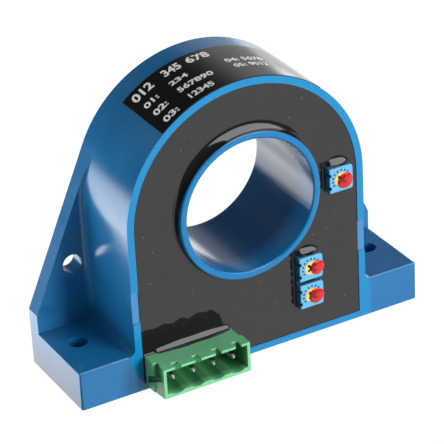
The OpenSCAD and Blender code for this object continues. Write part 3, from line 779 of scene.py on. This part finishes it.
sizes = node(tree, "FunctionNodeRandomValue", data_type="FLOAT")
tree.links.new(treeIn.outputs["Smallest"], sizes.inputs[2])
tree.links.new(treeIn.outputs["Largest"], sizes.inputs[3])
tree.links.new(treeIn.outputs["Seed"], sizes.inputs["Seed"])
flat = node(tree, "ShaderNodeCombineXYZ", {1: grainShape["thickness"]})
tree.links.new(sizes.outputs[1], flat.inputs[0])
tree.links.new(mathNode(tree, "MULTIPLY", sizes.outputs[1], grainShape["width"]), flat.inputs[2])
specks = tree.nodes.new("GeometryNodeInstanceOnPoints")
tree.links.new(scatter.outputs["Points"], specks.inputs["Points"])
tree.links.new(speck.outputs["Mesh"], specks.inputs["Instance"])
tree.links.new(flat.outputs[0], specks.inputs["Scale"])
finishTree(tree, specks.outputs[0], dustSpeck, treeOut)

# the open face in small squares, clear of the rim, the tube and what stands in the resin; in mm
dustField = {"cell": 1.5, "rim": 0.8, "tube": 2.2, "block": 1, "overBlock": 2}
blocks = [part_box(n) for n in ("header_housing", "trimmer_body_1", "trimmer_body_2", "trimmer_body_3")]
cell, aside, over = dustField["cell"] * mm, dustField["block"] * mm, dustField["overBlock"] * mm
halfW = resinHi.x - dustField["rim"] * mm
verts, faces = [], []
for i in range(int(-halfW // cell), int(halfW // cell) + 1):
    for k in range(int(resinHi.z // cell) + 1):
        x, z = i * cell, resinLo.z + k * cell
        corners = [(x, z), (x + cell, z), (x + cell, z + cell), (x, z + cell)]
        inside = all(abs(cx) < halfW and math.hypot(cx, max(0, cz - boreZ)) < halfW
                     and math.hypot(cx, cz - boreZ) > tubeR + dustField["tube"] * mm for cx, cz in corners)
        clear = all(cx < lo.x - aside or cx > hi.x + aside or cz < lo.z - aside or cz > hi.z + over
                    for lo, hi in blocks for cx, cz in corners)
        if inside and clear:
            faces.append(tuple(range(len(verts), len(verts) + 4)))
            verts += [(cx, resinY, cz) for cx, cz in corners]
finishPiece(growPiece("resinDust", meshFrom("resinDust", verts, faces), tree, dustLook),
            "case", "resin_black", dustSpeck)
print("dots and dust grown")


# plain numbers on the film

# text, angle of its left end, width along the arc, front edge and height, in degrees and mm
printRows = [("012", 127.8, 5.6, 1.9, 3.0), ("345", 111.3, 4.5, 2.0, 2.9), ("678", 99.6, 5.6, 2.1, 2.8),
             ("01:", 127.0, 3.9, -2.3, 1.9), ("234", 112.9, 4.6, -2.1, 1.7),
             ("02:", 126.8, 3.9, -6.5, 2.1), ("567890", 112.9, 8.9, -6.0, 2.0),
             ("03:", 126.4, 4.1, -10.7, 2.1), ("12345", 111.8, 6.2, -10.1, 2.0),
             ("04: 5678", 86.5, 9.4, -2.8, 1.9), ("05: 9012", 85.6, 8.6, -6.0, 1.9)]
printLook = {"thick": 0.012, "stroke": 0.03, "lift": 0.006, "depth": 0.5, "curveSteps": 4}


def printedText(body, startDegrees, width, front, height):
    letters = bpy.data.curves.new("letters", "FONT")
    letters.body = body
    letters.offset = printLook["stroke"]
    letters.extrude = printLook["depth"]
    letters.resolution_u = printLook["curveSteps"]
    holder = addObject("letters", letters)
    mesh = evaluatedMesh(holder)
    bpy.data.objects.remove(holder)
    xs = [v.co.x for v in mesh.vertices]
    ys = [v.co.y for v in mesh.vertices]
    left, right, low, high = min(xs), max(xs), min(ys), max(ys)
    verts = []
    for v in mesh.vertices:
        along = (v.co.x - left) / (right - left) * width * mm
        angle = math.radians(startDegrees) - along / archR
        y = (front + (v.co.y - low) / (high - low) * height) * mm
        r = archR + (printLook["lift"] + v.co.z * printLook["thick"]) * mm
        verts.append((r * math.cos(angle), y, boreZ + r * math.sin(angle)))
    return verts, [tuple(p.vertices) for p in mesh.polygons]


verts, faces = [], []
for row in printRows:
    newVerts, newFaces = printedText(*row)
    faces += [tuple(i + len(verts) for i in face) for face in newFaces]
    verts += newVerts
finishPiece(addObject("filmPrint", meshFrom("filmPrint", verts, faces)), "case", "label_black", inkWhite)
print("film printed")


# floor, light and camera

def smooth(tree, value, low, high):
    n = node(tree, "ShaderNodeMapRange", {"From Min": low, "From Max": high}, interpolation_type="SMOOTHSTEP")
    tree.links.new(value, n.inputs["Value"])
    return n.outputs[0]


def lightPath(tree, kinds):
    path = tree.nodes.new("ShaderNodeLightPath")
    mask = path.outputs[kinds[0]]
    for kind in kinds[1:]:
        mask = mathNode(tree, "MAXIMUM", mask, path.outputs[kind])
    return mask


# the lens sees white, diffuse light sees a pale bounce, mirrors look through to the world below it
floorLook = {"glow": 0.93, "shown": 0.25, "bounce": 0.55, "reach": 3.0, "height": -0.02 * mm}
floorMat = bpy.data.materials.new("paleFloor")
floorMat.use_nodes = True
tree = floorMat.node_tree
tree.nodes.clear()
shown = node(tree, "ShaderNodeBsdfDiffuse", {"Color": (floorLook["shown"],) * 3 + (1,)})
glow = node(tree, "ShaderNodeEmission", {"Strength": floorLook["glow"]})
bounce = node(tree, "ShaderNodeBsdfDiffuse", {"Color": (floorLook["bounce"],) * 3 + (1,)})
clear = tree.nodes.new("ShaderNodeBsdfTransparent")
together = tree.nodes.new("ShaderNodeAddShader")
choose, reflect = tree.nodes.new("ShaderNodeMixShader"), tree.nodes.new("ShaderNodeMixShader")
out = tree.nodes.new("ShaderNodeOutputMaterial")
tree.links.new(shown.outputs[0], together.inputs[0])
tree.links.new(glow.outputs[0], together.inputs[1])
tree.links.new(lightPath(tree, ("Is Camera Ray", "Is Transmission Ray")), choose.inputs[0])
tree.links.new(bounce.outputs[0], choose.inputs[1])
tree.links.new(together.outputs[0], choose.inputs[2])
tree.links.new(lightPath(tree, ("Is Glossy Ray",)), reflect.inputs[0])
tree.links.new(choose.outputs[0], reflect.inputs[1])
tree.links.new(clear.outputs[0], reflect.inputs[2])
tree.links.new(reflect.outputs[0], out.inputs[0])
corners = [(x * floorLook["reach"], y * floorLook["reach"], floorLook["height"])
           for x, y in ((-1, -1), (1, -1), (1, 1), (-1, 1))]
floor = addObject("floor", meshFrom("floor", corners, [(0, 1, 2, 3)]))
dress(floor, floorMat)

# world: white for the lens; mirrors see a pale floor, brighter behind the object and brightest
# behind it on the left, a strip of light over the horizon behind, a low glow far to its right
# and the front softbox. Pairs are where a part starts and where it is full, as slopes of the ray
worldLook = {"fill": 0.27, "room": 0.03, "behindSide": (-0.2, 0.3), "leftSide": (0.15, -0.15),
             "floor": 0.90, "floorFrom": (-0.04, -0.2), "dimLeft": 0.1, "dimSide": (-0.75, -0.5),
             "behind": 0.2, "behindFrom": (0.06, -0.04), "strip": 0.7, "stripTop": (0.6, 0.35),
             "pool": 3.0, "poolSide": (0.5, 0.75), "poolFrom": (-0.07, -0.20), "poolFar": 0.3,
             "poolFoot": (-0.56, -0.46), "glow": 4.5, "glowSide": (0.612, 0.630),
             "glowFoot": (-0.25, -0.05), "glowTop": (0.30, 0.0), "softbox": 3.5,
             "boxFacing": (0.75, -0.66, 0), "boxEdge": (0.57, 0.64), "boxFrom": (0.30, 0.40)}
world = bpy.data.worlds.new("studio")
scene.world = world
world.use_nodes = True
tree = world.node_tree
back = tree.nodes["Background"]
back.inputs["Color"].default_value = (1, 1, 1, 1)


def brighter(a, b):
    return mathNode(tree, "MAXIMUM", a, b)


# the ray's height, and its heading on the level
parts, heading = tree.nodes.new("ShaderNodeSeparateXYZ"), tree.nodes.new("ShaderNodeCombineXYZ")
tree.links.new(node(tree, "ShaderNodeTexCoord").outputs["Generated"], parts.inputs[0])
tree.links.new(parts.outputs["X"], heading.inputs["X"])
tree.links.new(parts.outputs["Y"], heading.inputs["Y"])
unit = node(tree, "ShaderNodeVectorMath", operation="NORMALIZE")
tree.links.new(heading.outputs[0], unit.inputs[0])
around = tree.nodes.new("ShaderNodeSeparateXYZ")
tree.links.new(unit.outputs[0], around.inputs[0])
toZ, aroundX, aroundY = parts.outputs["Z"], around.outputs["X"], around.outputs["Y"]

behind = smooth(tree, aroundY, *worldLook["behindSide"])
leftward = smooth(tree, aroundX, *worldLook["leftSide"])
rightBehind = product(tree, behind, mathNode(tree, "SUBTRACT", 1.0, leftward))
nearHorizon = smooth(tree, toZ, *worldLook["behindFrom"])
level = product(tree, smooth(tree, toZ, *worldLook["floorFrom"]),
                spread(tree, aroundX, *worldLook["dimSide"], worldLook["dimLeft"], 1.0), worldLook["floor"])
level = brighter(level, product(tree, rightBehind, nearHorizon, worldLook["floor"]))
pool = product(tree, leftward, smooth(tree, aroundY, *worldLook["poolSide"]),
               smooth(tree, toZ, *worldLook["poolFrom"]),
               spread(tree, toZ, *worldLook["poolFoot"], worldLook["poolFar"], 1.0), worldLook["pool"])
for extra in (product(tree, rightBehind, nearHorizon, worldLook["behind"]), pool):
    level = mathNode(tree, "ADD", level, extra)
level = brighter(level, product(tree, rightBehind, smooth(tree, toZ, *worldLook["stripTop"]),
                                worldLook["strip"]))
level = brighter(level, product(tree, smooth(tree, aroundX, *worldLook["glowSide"]), behind,
                                smooth(tree, toZ, *worldLook["glowFoot"]),
                                smooth(tree, toZ, *worldLook["glowTop"]), worldLook["glow"]))
facing = node(tree, "ShaderNodeVectorMath", {1: worldLook["boxFacing"]}, operation="DOT_PRODUCT")
tree.links.new(unit.outputs[0], facing.inputs[0])
level = brighter(level, product(tree, smooth(tree, facing.outputs["Value"], *worldLook["boxEdge"]),
                                smooth(tree, toZ, *worldLook["boxFrom"]), worldLook["softbox"]))
level = brighter(level, worldLook["room"])
mirrored = lightPath(tree, ("Is Glossy Ray",))
direct = lightPath(tree, ("Is Camera Ray", "Is Transmission Ray"))
fill = product(tree, mathNode(tree, "SUBTRACT", 1.0, brighter(mirrored, direct)), worldLook["fill"])
tree.links.new(mathNode(tree, "ADD", brighter(product(tree, level, mirrored), direct), fill),
               back.inputs["Strength"])

# place, target, width and height in metres, and brightness; reflections come from the world
lamps = {"frontBox": ((0.40, -0.79, 0.165), (0, 0, 0.034), (0.42, 0.62), 15.5),
         "backBox": ((-0.36, 0.60, 0.42), (0, 0, 0.034), (0.50, 0.40), 2.7),
         "floorPool": ((-0.23, 0.17, 0.001), (-0.23, 0.17, 1.0), (0.34, 0.36), 3.4)}
for name, (place, target, size, brightness) in lamps.items():
    lamp = bpy.data.lights.new(name, "AREA")
    lamp.shape = "RECTANGLE"
    lamp.size, lamp.size_y = size
    lamp.energy = brightness * math.pi * size[0] * size[1]
    lampObj = addObject(name, lamp)
    lampObj.location = Vector(place)
    lampObj.rotation_euler = (Vector(place) - Vector(target)).to_track_quat("Z", "Y").to_euler()
    lampObj.visible_camera = lampObj.visible_glossy = False

cameraLook = {"lens": 204.0781, "sensor": 36.0, "place": (-0.233004, -0.437585, 0.29968),
              "turn": (61.2513, 2.7009, -29.5104), "clip": (0.01, 20)}
camera = bpy.data.cameras.new("camera")
camera.lens, camera.sensor_width = cameraLook["lens"], cameraLook["sensor"]
camera.clip_start, camera.clip_end = cameraLook["clip"]
cameraObj = addObject("camera", camera)
cameraObj.location = cameraLook["place"]
cameraObj.rotation_euler = [math.radians(angle) for angle in cameraLook["turn"]]
scene.camera = cameraObj
scene.view_settings.view_transform = "Standard"
